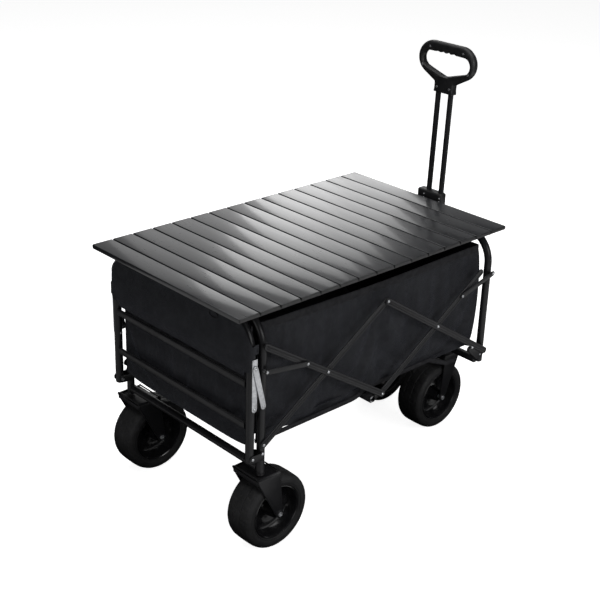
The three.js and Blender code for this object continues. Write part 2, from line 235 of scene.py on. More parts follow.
def paint_look():
    """Black powder coat with orange peel, rubbed a little on its edges."""
    look = Look("powder_coat", (0.012, 0.012, 0.013), 0.38, Specular_IOR_Level=0.3)
    wear = look.ramp(look.node("NewGeometry").outputs["Pointiness"], 0.0, 1.0, 0.53, 0.62)
    patchy = look.math("MULTIPLY", wear, look.ramp(look.noise(55, 5), 0.1, 0.8, 0.4, 0.65))
    look.paint(patchy, (0.012, 0.012, 0.0135), (0.055, 0.055, 0.058), 0.0, 1.0)
    look.rough(look.noise(28, 5), 0.28, 0.4)
    look.relief(look.noise(650, 2), 0.00009, 0.7)
    return look.material


def steel_look():
    """Zinc-plated strip and rivet heads."""
    look = Look("zinc_plate", (0.58, 0.59, 0.61), 0.34, 0.85)
    look.paint(look.noise(120, 5), (0.46, 0.47, 0.49), (0.68, 0.69, 0.71))
    look.rough(look.noise(300, 4, (1, 1, 0.2)), 0.25, 0.45)
    look.relief(look.noise(900, 3, (1, 1, 0.15)), 0.00005)
    return look.material


def weave_height(look, threads):
    """Plain weave from the cloth's own UVs, which are in metres: over-under threads both ways."""
    split = look.node("SeparateXYZ")
    look.link(look.node("TexCoord").outputs["UV"], split.inputs["Vector"])
    turn = math.pi * threads
    warp = look.math("SINE", look.math("MULTIPLY", split.outputs["X"], turn))
    weft = look.math("SINE", look.math("MULTIPLY", split.outputs["Y"], turn))
    cross = look.math("MULTIPLY", warp, weft)
    ridge = look.math("MULTIPLY", look.math("ABSOLUTE", warp), look.math("ABSOLUTE", weft))
    return look.math("ADD", look.math("MULTIPLY", cross, 0.35), ridge)


def cloth_look(name="oxford_cloth", low=(0.0135, 0.014, 0.017), high=(0.024, 0.025, 0.029)):
    """Coated 600-denier polyester: plain weave, a dull sheen and slightly mottled colour."""
    look = Look(name, low, 0.68, 0.0, Specular_IOR_Level=0.2)
    look.shader.inputs["Sheen Weight"].default_value = 0.12
    look.shader.inputs["Sheen Roughness"].default_value = 0.4
    look.shader.inputs["Sheen Tint"].default_value = (0.75, 0.8, 1.0, 1)
    look.paint(look.noise(24, 6), low, high)
    look.rough(look.noise(70, 4), 0.58, 0.78)
    look.relief(look.noise(38, 4), 0.0009, 0.35)
    look.relief(weave_height(look, 1400.0), 0.00016, 0.8)
    return look.material


def tape_look():
    """Ribbed webbing used for hems and straps."""
    look = Look("webbing", (0.012, 0.012, 0.014), 0.75, Specular_IOR_Level=0.2)
    look.paint(look.noise(80, 4), (0.010, 0.010, 0.012), (0.026, 0.026, 0.029))
    look.relief(weave_height(look, 900.0), 0.0003, 0.9)
    return look.material


def rubber_look():
    look = Look("tyre_rubber", (0.012, 0.012, 0.013), 0.58, Specular_IOR_Level=0.3)
    look.paint(look.noise(26, 6), (0.011, 0.011, 0.012), (0.026, 0.026, 0.027))
    look.rough(look.noise(40, 4), 0.52, 0.75)
    look.relief(look.noise(500, 3), 0.00012, 0.6)
    return look.material


def gloss_look():
    """Glossy black moulding of the hubs."""
    look = Look("gloss_moulding", (0.008, 0.008, 0.009), 0.18)
    look.shader.inputs["Coat Weight"].default_value = 0.3
    look.shader.inputs["Coat Roughness"].default_value = 0.08
    look.rough(look.noise(30, 4), 0.13, 0.28)
    look.paint(look.noise(60, 4), (0.006, 0.006, 0.007), (0.013, 0.013, 0.014))
    look.relief(look.noise(90, 3), 0.0001, 0.25)
    return look.material


def plastic_look():
    """Satin black nylon with a fine spark-eroded grain."""
    look = Look("satin_nylon", (0.013, 0.013, 0.014), 0.42)
    look.paint(look.noise(45, 5), (0.010, 0.010, 0.011), (0.02, 0.02, 0.021))
    look.rough(look.noise(60, 5), 0.34, 0.52)
    look.relief(look.noise(1300, 2), 0.00008, 0.6)
    return look.material


# ---- outlines -----------------------------------------------------------------------------------
def arc(cu, cv, r, start, end, steps):
    """Points on a circle, angles in degrees."""
    turns = [math.radians(start + (end - start) * i / steps) for i in range(steps + 1)]
    return [(cu + r * math.cos(a), cv + r * math.sin(a)) for a in turns]


def rounded_box(u0, u1, v0, v1, r, steps=5):
    corners = ((u1 - r, v0 + r, -90), (u1 - r, v1 - r, 0), (u0 + r, v1 - r, 90), (u0 + r, v0 + r, 180))
    return [p for cu, cv, a in corners for p in arc(cu, cv, r, a, a + 90, steps)]


def bar_outline(a, b, width, tail_a, tail_b=None, steps=10):
    """Outline of a bar with round ends from pivot a to pivot b; each end stands its tail past the pivot."""
    turn = math.degrees(math.atan2(b[1] - a[1], b[0] - a[0]))
    along = Vector((b[0] - a[0], b[1] - a[1])).normalized()
    r = width / 2
    p = Vector(a) - along * (tail_a - r)
    q = Vector(b) + along * ((tail_a if tail_b is None else tail_b) - r)
    return arc(q.x, q.y, r, turn - 90, turn + 90, steps) + arc(p.x, p.y, r, turn + 90, turn + 270, steps)


def hull(circles, steps=48):
    """Convex outline round circles given as (u, v, radius)."""
    points = sorted(p for u, v, r in circles for p in arc(u, v, r, 0, 360, steps)[:-1])

    def chain(order):
        kept = []
        for p in order:
            while len(kept) > 1 and ((kept[-1][0] - kept[-2][0]) * (p[1] - kept[-2][1])
                                     <= (p[0] - kept[-2][0]) * (kept[-1][1] - kept[-2][1])):
                kept.pop()
            kept.append(p)
        return kept[:-1]

    return chain(points) + chain(points[::-1])


def inset(outline, amount):
    """The outline drawn inwards by amount, mitred at its corners."""
    if amount == 0:
        return outline
    points = [Vector(p) for p in outline]
    area = sum(a.x * b.y - b.x * a.y for a, b in zip(points, points[1:] + points[:1]))
    way = 1 if area > 0 else -1
    drawn = []
    for before, here, after in zip(points[-1:] + points[:-1], points, points[1:] + points[:1]):
        one, two = (here - before).normalized(), (after - here).normalized()
        normal_one, normal_two = Vector((-one.y, one.x)) * way, Vector((-two.y, two.x)) * way
        miter = (normal_one + normal_two) / max(0.4, 1 + normal_one.dot(normal_two))
        drawn.append(tuple(here + miter * amount))
    return drawn


def bent(corners, bend, turn_step=6.0, run_step=60.0):
    """Path through corners, each rounded to the bend radius, with extra points along its straight runs."""
    corners = [Vector(c) for c in corners]
    path = [corners[0]]
    for before, here, after in zip(corners, corners[1:], corners[2:]):
        back, on = (before - here).normalized(), (after - here).normalized()
        half = back.angle(on) / 2
        centre = here + (back + on).normalized() * (bend / math.sin(half))
        start = here + back * (bend / math.tan(half)) - centre
        end = here + on * (bend / math.tan(half)) - centre
        sweep = start.angle(end)
        steps = max(2, round(math.degrees(sweep) / turn_step))
        for k in range(steps + 1):
            share = k / steps
            spoke = start * math.sin(sweep * (1 - share)) + end * math.sin(sweep * share)
            path.append(centre + spoke / math.sin(sweep))
    path.append(corners[-1])
    filled = [path[0]]
    for a, b in zip(path, path[1:]):
        pieces = max(1, int((b - a).length / run_step))
        filled += [a.lerp(b, k / pieces) for k in range(1, pieces + 1)]
    return filled


# ---- pieces -------------------------------------------------------------------------------------
PLANES = {
    "xz": lambda u, v, d: (u, d, v),
    "yz": lambda u, v, d: (d, u, v),
    "xy": lambda u, v, d: (u, v, d),
}
BODY_OF = {node: body for body, nodes in frame["record"]["behaviour"]["bodies"].items() for node in nodes}


class Piece:
    """A mesh under construction, in raw millimetres. A look is the number of a material in its list."""

    def __init__(self, name, *looks):
        self.name, self.looks, self.mesh = name, looks, bmesh.new()

    def loft(self, rings, look=0, closed=True, capped=True, wrapped=False):
        """Skin through rings of points, all of one count."""
        rows = [[self.mesh.verts.new(p) for p in ring] for ring in rings]
        count = len(rows[0])
        for a, b in zip(rows, rows[1:] + rows[:1] if wrapped else rows[1:]):
            for i in range(count if closed else count - 1):
                j = (i + 1) % count
                self.mesh.faces.new((a[i], a[j], b[j], b[i])).material_index = look
        if capped and not wrapped:
            for row in (rows[0][::-1], rows[-1]):
                self.mesh.faces.new(row).material_index = look

    def slab(self, outline, plane, d0, d1, edge=0.6, look=0, steps=3, rim=0.0):
        """Flat plate between two depths with rounded edges; a rim leaves both faces pressed in."""
        place, half = PLANES[plane], []
        for k in range(steps + 1):
            turn = k / steps * math.pi / 2
            half.append((edge * (1 - math.cos(turn)), edge * (1 - math.sin(turn))))
        if rim:
            half = [(0.8, edge + rim + 1.0), (0.1, edge + rim)] + half
        levels = [(d0 + d, i) for d, i in half] + [(d1 - d, i) for d, i in half[::-1]]
        self.loft([[place(u, v, d) for u, v in inset(outline, i)] for d, i in levels], look)

    def sweep(self, path, radius, look=0, sides=28, chamfer=0.0, flat=1.0, facing=(0, 0, 1)):
        """Round bar along a path; flat squeezes its section across the facing direction."""
        path = [Vector(p) for p in path]
        stations = [(p, 1.0) for p in path]
        if chamfer:
            first = (path[1] - path[0]).normalized() * chamfer
            last = (path[-2] - path[-1]).normalized() * chamfer
            small = (radius - chamfer) / radius
            stations[0:1] = [(path[0], small), (path[0] + first, 1.0)]
            stations[-1:] = [(path[-1] + last, 1.0), (path[-1], small)]
        along = (stations[1][0] - stations[0][0]).normalized()
        parallel = abs(along.dot(Vector(facing))) > 0.95
        side = (along.orthogonal() if parallel else along.cross(Vector(facing))).normalized()
        rings = []
        for i, (p, size) in enumerate(stations):
            before, after = stations[max(i - 1, 0)][0], stations[min(i + 1, len(stations) - 1)][0]
            along = (after - before).normalized()
            side = (side - along * side.dot(along)).normalized()
            up = side.cross(along)
            turns = [2 * math.pi * k / sides for k in range(sides)]
            rings.append([p + (side * math.cos(a) * flat + up * math.sin(a)) * radius * size
                          for a in turns])
        self.loft(rings, look)

    def turn(self, profile, centre, axis="y", look=0, sides=32, wrapped=False, sign=1):
        """Revolved solid: profile is (radius, distance along the axis). A wrapped profile makes a ring."""
        rings = []
        steps = [2 * math.pi * k / sides for k in range(sides)]
        if wrapped:
            for a in steps:
                cos, sin = math.cos(a), math.sin(a)
                rings.append([self.axial(axis, centre, r * cos, r * sin, d * sign) for r, d in profile])
            self.loft(rings, look, capped=False, wrapped=True)
            return
        for r, d in profile:
            rings.append([self.axial(axis, centre, r * math.cos(a), r * math.sin(a), d * sign)
                          for a in steps])
        self.loft(rings, look)

    @staticmethod
    def axial(axis, centre, u, v, d):
        cx, cy, cz = centre
        turned = {"x": (d, u, v), "y": (u, d, v), "z": (u, v, d)}[axis]
        return cx + turned[0], cy + turned[1], cz + turned[2]

    def rivet(self, u, v, face, outward, radius=5.0, look=1, axis="y"):
        """Domed head with a thin collar, standing on the face at that distance along the axis."""
        centre = {"y": (u, face, v), "x": (face, u, v), "z": (u, v, face)}[axis]
        r = radius
        dome = [(r, -1.4), (r, 0.45), (0.93 * r, 0.75), (0.72 * r, 1.45), (0.42 * r, 2.0), (0.12 * r, 2.2)]
        self.turn(dome, centre, axis, look, 20, sign=outward)

    def build(self, smooth=35.0):
        """Turns the mesh into a Blender object in metres."""
        bmesh.ops.recalc_face_normals(self.mesh, faces=self.mesh.faces)
        for vertex in self.mesh.verts:
            vertex.co = at(*vertex.co)
        data = bpy.data.meshes.new(self.name)
        self.mesh.to_mesh(data)
        self.mesh.free()
        for look in self.looks:
            data.materials.append(look)
        data.polygons.foreach_set("use_smooth", [True] * len(data.polygons))
        data.set_sharp_from_angle(angle=math.radians(smooth))
        made = bpy.data.objects.new(self.name, data)
        bpy.context.collection.objects.link(made)
        return made


def stands_for(made, node, slot, *more):
    """The made object rides with a CAD node's body and is shown instead of it."""
    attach(made, BODY_OF[node])
    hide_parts(node, *more)
    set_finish(made, slot)
    return made


def sides():
    return (("r", -1), ("l", 1))


# ---- table --------------------------------------------------------------------------------------
def slat_outline(x0, x1):
    """Section of a slat: a flat top with rounded shoulders over two flanges, hollow between them."""
    z0, z1 = TABLE["top"] - TABLE["thick"], TABLE["top"]
    flange, skin, shoulder = 9.0, 3.0, 1.6
    top = arc(x1 - shoulder, z1 - shoulder, shoulder, 0, 90, 5)
    top += arc(x0 + shoulder, z1 - shoulder, shoulder, 90, 180, 5)
    left = arc(x0 + 0.8, z0 + 0.8, 0.8, 180, 270, 3)
    right = arc(x1 - 0.8, z0 + 0.8, 0.8, 270, 360, 3)
    hollow = [(x0 + flange, z0), (x0 + flange, z1 - skin), (x1 - flange, z1 - skin), (x1 - flange, z0)]
    return top + left + hollow + right


def add_slat(index, looks):
    pitch = TABLE["length"] / TABLE["slats"]
    x0 = -TABLE["length"] / 2 + index * pitch + TABLE["slot"] / 2
    x1 = x0 + pitch - TABLE["slot"]
    z0, z1 = TABLE["top"] - TABLE["thick"], TABLE["top"]
    node = f"table_slat_{index + 1:02d}"
    piece = Piece(node + "_fine", *looks)
    edge = TABLE["width"] / 2
    piece.slab(slat_outline(x0, x1), "xz", -edge + 2.6, edge - 2.6, 0.25)
    for side in (-1, 1):
        cap = sorted((side * (edge - 2.6), side * edge))
        piece.slab(rounded_box(x0 + 0.3, x1 - 0.3, z0 + 1.5, z1 - 0.4, 1.6), "xz", *cap, 0.7, 1)
        tongue = sorted((side * (edge - 16), side * (edge - 1.2)))
        if index < TABLE["slats"] - 1:
            outline = rounded_box(x1 - 5, x1 + TABLE["slot"] - 0.3, z0 + 0.5, z0 + 6, 0.8)
            piece.slab(outline, "xz", *tongue, 0.4, 1)
    stands_for(piece.build(), node, "slat_aluminium")


# ---- upright hoops ------------------------------------------------------------------------------
def hoop_path(x, foot):
    corners = [(x, -POST_Y, foot), (x, -POST_Y, HOOP_TOP), (x, POST_Y, HOOP_TOP), (x, POST_Y, foot)]
    return bent(corners, HOOP_BEND)


def weld(piece, centre, radius, axis="z"):
    """Small weld bead round a tube where it meets its neighbour."""
    turns = [k * math.pi / 4 for k in range(8)]
    bead = [(radius - 1 + 1.9 * math.cos(a), 1.9 * math.sin(a)) for a in turns]
    piece.turn(bead, centre, axis, 0, 28, wrapped=True)


def add_hinge_bracket(piece, side):
    """Arched cheeks either side of the drop-down hoop's foot, welded to the rear leg and pinned through."""
    low, high = GATE["hinge"] - 13, GATE["hinge"] + 8
    cheek = hull([(GATE["x"] + 1, GATE["hinge"], 10), (REAR["x"] - 4, low + 5, 5),
                  (REAR["x"] - 9, high - 9, 9)])
    for near, far in ((11.2, 13.2), (-13.2, -11.2)):
        piece.slab(cheek, "xz", *sorted((side * (POST_Y + near), side * (POST_Y + far))), 0.5)
    web = rounded_box(REAR["x"] - 4, REAR["x"] + 3, POST_Y - 12.8, POST_Y + 12.8, 2)
    piece.slab([(u, side * v) for u, v in web], "xy", low + 3, high - 3, 0.6)
    piece.turn([(3.9, -15), (3.9, 14)], (GATE["x"], side * POST_Y, GATE["hinge"]), "y", 1, 20, sign=side)
    piece.rivet(GATE["x"], GATE["hinge"], side * (POST_Y + 13.2), side, 4.2)
    piece.rivet(REAR["x"] - 4, GATE["hinge"] + 5, side * (POST_Y + 13.2), side, 4.2)


def add_rear_frame(looks):
    piece = Piece("rear_frame_fine", *looks)
    piece.sweep(hoop_path(REAR["x"], REAR["foot"]), REAR["r"], chamfer=0.8)
    half = POST_Y - REAR["r"] + 1
    piece.sweep([(REAR["x"], y, REAR["cross"]) for y in (-half, -80, 80, half)], REAR["r"])
    for _, side in sides():
        add_hinge_bracket(piece, side)
        weld(piece, (REAR["x"], side * (POST_Y - REAR["r"]), REAR["cross"]), REAR["r"], "y")
        weld(piece, (REAR["x"], side * POST_Y, REAR["foot"] + 1.5), REAR["r"])
    stands_for(piece.build(), "rear_frame", "frame_paint")


def add_tailgate(looks):
    piece = Piece("tailgate_frame_fine", *looks)
    piece.sweep(hoop_path(GATE["x"], GATE["foot"]), GATE["r"], chamfer=2.5)
    for _, side in sides():
        piece.rivet(GATE["x"] + 6, 327.5, side * (POST_Y + 8.8), side, 2.6)
        piece.rivet(GATE["x"] + 2, 411, side * (POST_Y - GATE["r"] + 0.4), -side, 4)
    stands_for(piece.build(), "tailgate_frame", "frame_paint")
    for node, z in (("tailgate_rail_upper", 472.0), ("tailgate_rail_lower", 363.0)):
        rail = Piece(node + "_fine", *looks)
        half = POST_Y - GATE["r"] - 0.5
        section = rounded_box(GATE["x"] - 9, GATE["x"] - 1, z - 9, z + 9, 3.4)
        rail.slab(section, "xz", -half, half, 0.5)
        stands_for(rail.build(), node, "frame_paint")


def add_front_frame(looks):
    piece = Piece("front_frame_fine", *looks)
    piece.sweep(hoop_path(FRONT["x"], FRONT["foot"]), FRONT["r"], chamfer=1.5)
    x = FRONT["x"]
    gusset = hull([(372, 318, 8), (x - 2, 300, 8), (404, 288, 8), (x - 12, 286, 8)])
    for _, side in sides():
        piece.slab(gusset, "xz", *sorted((side * 266.0, side * 273.9)), 1.2)
        piece.rivet(x - 14, 291, side * 273.9, side, 3)
    stands_for(piece.build(), "front_frame", "frame_paint")


def add_front_cross_tube(looks):
    piece = Piece("front_cross_tube_fine", *looks)
    x = FRONT["x"]
    half = POST_Y - FRONT["r"] - 0.5
    piece.sweep([(x, y, FRONT["cross"]) for y in (-half, -90, 90, half)], 11, chamfer=0.6)
    pin_x, pin_y = 455.0, WHEELS["front_l"][1]
    for _, side in sides():
        seat = rounded_box(x + 4, pin_x + 30, -30, 30, 9)
        piece.slab([(u, v + side * pin_y) for u, v in seat], "xy", 243, 254, 1.2)
        piece.turn([(20, 236.6), (20, 238), (17, 244)], (pin_x, side * pin_y, 0), "z", 1)
        piece.turn([(8, 253), (8, 260), (6.6, 261.5), (0.5, 261.5)], (pin_x, side * pin_y, 0), "z", 1, 6)
        ear = hull([(x, 275, 6), (HANDLE_X, 290, 11.5)])
        piece.slab(ear, "xz", *sorted((side * (ROD_Y + 15), side * (ROD_Y + 18))), 0.6)
        piece.rivet(HANDLE_X, 290, side * (ROD_Y + 18), side, 6.5)
    piece.turn([(8, -ROD_Y - 18), (8, ROD_Y + 18)], (x, 0, 275), "y", 0, 24)
    piece.turn([(3.9, -ROD_Y - 18), (3.9, ROD_Y + 18)], (HANDLE_X, 0, 290), "y", 1, 20)
    stands_for(piece.build(), "front_cross_tube", "frame_paint")


# ---- side linkage -------------------------------------------------------------------------------
def step_along(start, end, distance):
    way = Vector((end[0] - start[0], end[1] - start[1])).normalized() * distance
    return (start[0] + way.x, start[1] + way.y)


def add_bar(node, side, start, end, layer, rivets, looks, width=BAR_W, tail=9.0, far_tail=None,
            boss=None, square=0.0):
    piece = Piece(node + "_fine", *looks)
    thick = layer[1] - layer[0]
    edge = min(1.7, thick * 0.4)
    depths = sorted((side * layer[0], side * layer[1]))
    rim = 3.0 if thick > 4 else 0.0
    piece.slab(bar_outline(start, end, width, tail, far_tail), "xz", *depths, edge, rim=rim)
    if square:
        tip = rounded_box(end[0] - width / 2, end[0] + width / 2, end[1] - 4, square, 1.2)
        piece.slab(tip, "xz", *depths, 0.5)
    for u, v in rivets:
        piece.rivet(u, v, side * layer[1], side, 4.0)
    if boss:
        (u, v), near, radius = boss
        piece.turn([(radius, near), (radius, layer[0] + 0.4)], (u, 0, v), "y", 1, 20, sign=side)
    stands_for(piece.build(), node, "frame_paint")


def add_linkage(looks):
    rear_top, front_top = (FOOT[0], HIGH), (FRONT_FOOT[0], HIGH)
    mid_top, mid_low = (MID_X, HIGH), (MID_X, LOW)
    rear_cross = ((FOOT[0] + MID_X) / 2, (LOW + HIGH) / 2)
    front_cross = ((FRONT_FOOT[0] + MID_X) / 2, (LOW + HIGH) / 2)
    rear_post, front_post = (-376.0, 502.5), (432.0, 528.0)
    rear_end, front_end = step_along(rear_cross, rear_top, 86), step_along(front_cross, front_top, 110)
    for tag, side in sides():
        def bar(name, *rest, **more):
            add_bar(name + "_" + tag, side, *rest, looks, **more)
        bar("scissor_rear_rising", FOOT, mid_top, INNER, [FOOT])
        bar("scissor_rear_falling", rear_top, mid_low, OUTER, [rear_cross, mid_low])
        bar("scissor_front_rising", mid_low, step_along(front_top, mid_low, 40), INNER, [])
        bar("scissor_front_falling", mid_top, FRONT_FOOT, OUTER, [mid_top, front_cross, (372, 327)],
            far_tail=20.0)
        bar("short_link_rear", rear_post, rear_end, LINK_REAR, [rear_post, rear_end], width=14, tail=7,
            boss=(rear_post, 269.5, 3.5))
        bar("short_link_front", front_post, front_end, LINK_FRONT, [front_post, front_end], width=14,
            tail=7, boss=(front_post, 269.0, 3.5))


def add_stays(looks):
    gate, post, knee = (-404.0, 411.0), (-379.0, 413.0), (-404.8, 516.7)
    steel = (looks[1], looks[1])
    for tag, side in sides():
        for node, start, layer, rivets, boss, square in (
                ("stay_gate_", gate, (270, 272.5), [gate], None, 540.0),
                ("stay_post_", post, (273, 275.5), [post, knee], (post, 269.5, 4.6), 0.0)):
            add_bar(node + tag, side, start, knee, layer, rivets, steel, width=15, tail=7.5, boss=boss,
                    square=square)
            bpy.data.objects[node + tag + "_fine"]["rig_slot"] = "bright_steel"


def add_floor_tube(looks):
    """Square tube under the middle of the floor, hung from the low middle pivots."""
    piece = Piece("floor_cross_tube_fine", *looks)
    x, z, size, near, far = -4.0, 296.5, 17.0, 266.0, 269.0
    half = size / 2
    outer = rounded_box(x - half, x + half, z - half, z + half, 2.5)
    inner = [(x + (u - x) * 0.82, z + (v - z) * 0.82) for u, v in outer]
    for _, side in sides():
        reach = side * far
        rings = [[(u, d, v) for u, v in section] for section, d in
                 ((outer, 0), (outer, reach), (inner, reach), (inner, reach - side * 22))]
        piece.loft(rings)
        piece.slab(inner, "xz", *sorted((reach, reach - side * 6)), 0.3, 1)
        hanger = hull([(MID_X, LOW, 9), (x + half - 4, z - half + 4, 4), (x - half + 4, z, 4)])
        piece.slab(hanger, "xz", *sorted((side * near, side * far)), 0.8)
        piece.rivet(MID_X, LOW, side * near, -side, 5)
    stands_for(piece.build(), "floor_cross_tube", "frame_paint")


# ---- fabric tub ---------------------------------------------------------------------------------
def cloth_grid(name, across, up, lay, looks, cell=9.0):
    """Cloth cut as a rectangle. lay(s, t) gives a raw point for s, t from 0 to 1; UVs are metres."""
    columns, rows = max(2, round(across / cell)), max(2, round(up / cell))
    mesh = bmesh.new()
    uv = mesh.loops.layers.uv.new("cut")
    grid = [[mesh.verts.new(at(*lay(i / columns, j / rows))) for i in range(columns + 1)]
            for j in range(rows + 1)]
    for j in range(rows):
        for i in range(columns):
            corners = ((i, j), (i + 1, j), (i + 1, j + 1), (i, j + 1))
            face = mesh.faces.new([grid[b][a] for a, b in corners])
            for loop, (a, b) in zip(face.loops, corners):
                loop[uv].uv = (a / columns * across * MM, b / rows * up * MM)
    data = bpy.data.meshes.new(name)
    mesh.to_mesh(data)
    mesh.free()
    for look in looks:
        data.materials.append(look)
    data.polygons.foreach_set("use_smooth", [True] * len(data.polygons))
    made = bpy.data.objects.new(name, data)
    bpy.context.collection.objects.link(made)
    return made, columns, rows


def settle(cloth, pinned, slack, push, limit, gravity=1.0, frames=26):
    """Lets the cloth hang from its pinned points with a little extra length, then applies the result.
    No point ends further than limit (metres) from where it began."""
    group = cloth.vertex_groups.new(name="held")
    group.add(pinned, 1.0, "REPLACE")
    start = [v.co.copy() for v in cloth.data.vertices]
    modifier = cloth.modifiers.new("hang", "CLOTH")
    settings = modifier.settings
    settings.vertex_group_mass = "held"
    settings.quality = 7
    settings.mass = 0.25
    settings.tension_stiffness = settings.compression_stiffness = 18
    settings.shear_stiffness = 8
    settings.bending_stiffness = 1.6
    settings.shrink_min = -slack
    settings.use_pressure = push != 0
    settings.uniform_pressure_force = push
    settings.effector_weights.gravity = gravity
    modifier.collision_settings.use_collision = False
    modifier.collision_settings.use_self_collision = False
    scene = bpy.context.scene
    for number in range(1, frames + 1):
        scene.frame_set(number)
    hung = cloth.evaluated_get(bpy.context.evaluated_depsgraph_get())
    ends = [v.co.copy() for v in hung.data.vertices]
    cloth.modifiers.remove(modifier)
    cloth.vertex_groups.clear()
    scene.frame_set(1)
    for vertex, a, b in zip(cloth.data.vertices, start, ends):
        move = b - a
        vertex.co = a + move * min(1.0, limit / max(move.length, 1e-9))


def thicken(cloth, thickness=1.4):
    solid = cloth.modifiers.new("thickness", "SOLIDIFY")
    solid.thickness, solid.offset = thickness * MM, 0.0
    smooth = cloth.modifiers.new("smooth", "SUBSURF")
    smooth.levels = smooth.render_levels = 1


def edge_points(columns, rows):
    """Numbers of a grid's points along its four edges."""
    wide = columns + 1
    count = wide * (rows + 1)
    return [k for k in range(count) if k < wide or k >= count - wide or k % wide in (0, columns)]


def tape(name, path, width, thick, facing, look, body):
    """Folded webbing binding along a path of millimetre points: a flat oval section."""
    piece = Piece(name, look)
    piece.sweep(path, width / 2, 0, 16, flat=thick / width, facing=facing)
    made = piece.build(60)
    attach(made, body)
    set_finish(made, "bag_fabric")
    return made


def in_raw(line, rise):
    """Points of a made mesh back in raw millimetres, lifted by rise."""
    return [(x / MM + ORIGIN_X, y / MM, z / MM + rise) for x, y, z in line]


def front_bulge(z):
    """How far the front end of the tub stands out at a height."""
    share = max(0.0, min(1.0, (z - 318) / (598 - 318)))
    return 18.5 * math.sin(math.pi * share) ** 0.55


def add_side_panel(tag, side, looks):
    x0, x1, y = BAG["side_x0"] - 12, BAG["x1"] - 6, BAG["y"] - 1.5
    z0, z1 = BAG["z0"] - 4, BAG["z1"] - 4

    def foot_rise(x):
        """The lower edge is drawn up ahead of the middle pivots and, a little, behind the rear leg."""
        ahead = 1 / (1 + math.exp(-(x + 22) / 9.0))
        return 17.0 * ahead + 12.0 * math.exp(-((x + 290) / 38.0) ** 2)

    def band_rise(x):
        ahead = 17.0 / (1 + math.exp(-(x + 22) / 9.0))
        return ahead - 34.0 * max(0.0, min(1.0, (x - 235) / 75.0))

    def lay(s, t):
        x = x0 + (x1 + front_bulge(z0 + (z1 - z0) * t) * min(1.0, (s * 3) ** 2) - x0) * s
        low = z0 + foot_rise(x)
        z = low + (z1 - low) * t
        belly = 3.5 * math.sin(math.pi * s) * math.sin(math.pi * t)
        fold = 3.2 * math.exp(-abs(x - 13) / 5.0) * min(1.0, (z - z0) / 120)
        fold *= max(0.0, min(1.0, (585 - z) / 60))
        corner = 4.0 * math.exp(-(s / 0.03) ** 2)
        droop = 5.0 * math.sin(math.pi * s) ** 2 * t ** 6
        return x, side * (y - belly + fold - corner), z - droop

    name = "bag_side_" + tag
    cloth, columns, rows = cloth_grid(name + "_cloth", x1 - x0, z1 - z0, lay, looks[:1])
    wide = columns + 1
    crease = [j * wide + round(columns * (13 - x0) / (x1 - x0)) for j in range(0, rows + 1, 3)]
    settle(cloth, edge_points(columns, rows) + crease, 0.018, 0.0, 0.014)
    hem_line = [tuple(v.co) for v in cloth.data.vertices][rows * wide:]
    foot_line = [tuple(v.co) for v in cloth.data.vertices][:wide]
    thicken(cloth)
    band = [(x, y, z0 + 3 + band_rise(x)) for x, y, z in in_raw(foot_line, 0) if x < 345]
    hems = [
        tape(name + "_top_hem", in_raw(hem_line, -5), 22, 4.0, (0, 0, 1), looks[1], "root"),
        tape(name + "_foot_hem", band, 13, 5.0, (0, 0, 1), looks[1], "root"),
    ]
    stands_for(cloth, name, "bag_fabric")
    for piece in (cloth, *hems):
        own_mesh(piece)


